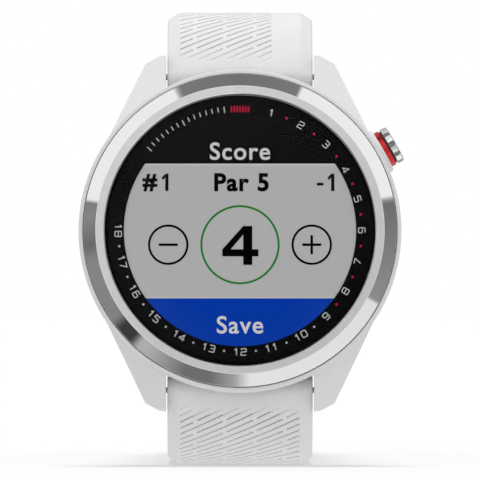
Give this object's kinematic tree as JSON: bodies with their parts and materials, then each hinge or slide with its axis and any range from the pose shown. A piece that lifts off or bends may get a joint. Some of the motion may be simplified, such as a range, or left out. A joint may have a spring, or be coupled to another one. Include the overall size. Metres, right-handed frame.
{
  "type": "golf gps watch",
  "caption": "Round wristwatch for golf: glass dial in a sloped steel bezel, four-lug case, one pusher, and a two-part silicone strap with buckle and keeper.",
  "frame": {"origin": "centre of the case back's outer face", "axes": "-Y out through the dial, +Z to 12 o'clock, +X to 3 o'clock; it stands on the lower strap half"},
  "size_m": [0.0444, 0.1093, 0.062],
  "materials": {
    "white_polymer": "satin",
    "steel_bezel": "satin",
    "glass_lens": "polished",
    "black_rubber": "matte",
    "black_mask": "matte",
    "display_stack": "gloss",
    "light_guide": "gloss",
    "antenna_brass": "satin",
    "grey_frame": "matte",
    "circuit_board": "satin",
    "chip_black": "matte",
    "bare_steel": "satin",
    "flex_amber": "satin",
    "battery_foil": "satin",
    "grey_foam": "matte",
    "cover_polymer": "matte",
    "red_silicone": "matte",
    "gold_contact": "polished",
    "button_steel": "polished",
    "red_anodised": "satin",
    "white_silicone": "satin",
    "buckle_steel": "satin"
  },
  "bodies": {
    "case": {"upper_case": "white_polymer", "bezel": "steel_bezel", "lens": "glass_lens", "lens_gasket": "black_rubber", "dial_mask": "black_mask", "display_panel": "display_stack", "backlight": "light_guide", "gps_antenna": "antenna_brass", "chassis": "grey_frame", "main_board": "circuit_board", "board_components": "chip_black", "rf_shield": "bare_steel", "display_flex": "flex_amber", "battery": "battery_foil", "battery_pad": "grey_foam", "battery_flex": "flex_amber", "motor_can": "bare_steel", "back_cover": "cover_polymer", "back_gasket": "red_silicone", "back_screws": "bare_steel", "contact_block": "black_mask", "charging_contacts": "gold_contact", "tact_switch": "bare_steel", "button_spring": "bare_steel"},
    "button": {"button_cap": "button_steel", "button_collar": "red_anodised", "button_stem": "bare_steel", "button_clip": "bare_steel", "button_seals": "black_rubber"},
    "motor_rotor": {"motor_shaft": "bare_steel", "motor_weight": "bare_steel"},
    "upper_strap": {"upper_strap": "white_silicone", "upper_bar_tube": "bare_steel", "upper_bar_fixed_tip": "bare_steel", "upper_bar_spring": "bare_steel"},
    "upper_release": {"upper_release_pin": "bare_steel"},
    "lower_strap": {"lower_strap": "white_silicone", "lower_bar_tube": "bare_steel", "lower_bar_fixed_tip": "bare_steel", "lower_bar_spring": "bare_steel"},
    "lower_release": {"lower_release_pin": "bare_steel"},
    "buckle": {"buckle_frame": "buckle_steel", "buckle_pin": "bare_steel"},
    "tongue": {"buckle_tongue": "buckle_steel"},
    "keeper": {"keeper_loop": "white_silicone"}
  },
  "joints": [
    {"name": "button_press", "type": "slide", "parent": "case", "child": "button", "axis": [-0.866, 0, -0.5], "range_m": [0, 0.0006], "stiffness_N_per_m": 600, "springref_m": -0.0005, "deforming": ["button_spring"]},
    {"name": "motor_spin", "type": "hinge", "parent": "case", "child": "motor_rotor", "pos_m": [0, -0.0043, -0.0095], "axis": [1, 0, 0], "continuous": true},
    {"name": "upper_strap_swing", "type": "hinge", "parent": "case", "child": "upper_strap", "pos_m": [0, -0.0032, 0.0214], "axis": [1, 0, 0], "range_deg": [-20, 30]},
    {"name": "lower_strap_swing", "type": "hinge", "parent": "case", "child": "lower_strap", "pos_m": [0, -0.0032, -0.0214], "axis": [1, 0, 0], "range_deg": [-30, 10]},
    {"name": "upper_release_slide", "type": "slide", "parent": "upper_strap", "child": "upper_release", "axis": [-1, 0, 0], "range_m": [0, 0.00095], "stiffness_N_per_m": 150, "springref_m": -0.0005, "deforming": ["upper_bar_spring"]},
    {"name": "lower_release_slide", "type": "slide", "parent": "lower_strap", "child": "lower_release", "axis": [-1, 0, 0], "range_m": [0, 0.00095], "stiffness_N_per_m": 150, "springref_m": -0.0005, "deforming": ["lower_bar_spring"]},
    {"name": "buckle_swing", "type": "hinge", "parent": "upper_strap", "child": "buckle", "pos_m": [0, 0.06723, 0.01308], "axis": [1, 0, 0], "range_deg": [-45, 40]},
    {"name": "tongue_swing", "type": "hinge", "parent": "buckle", "child": "tongue", "pos_m": [0, 0.06723, 0.01308], "axis": [1, 0, 0], "range_deg": [0, 60]},
    {"name": "keeper_slide", "type": "slide", "parent": "upper_strap", "child": "keeper", "axis": [0, 0.9285, -0.3714], "range_m": [-0.008, 0.003]}
  ]
}
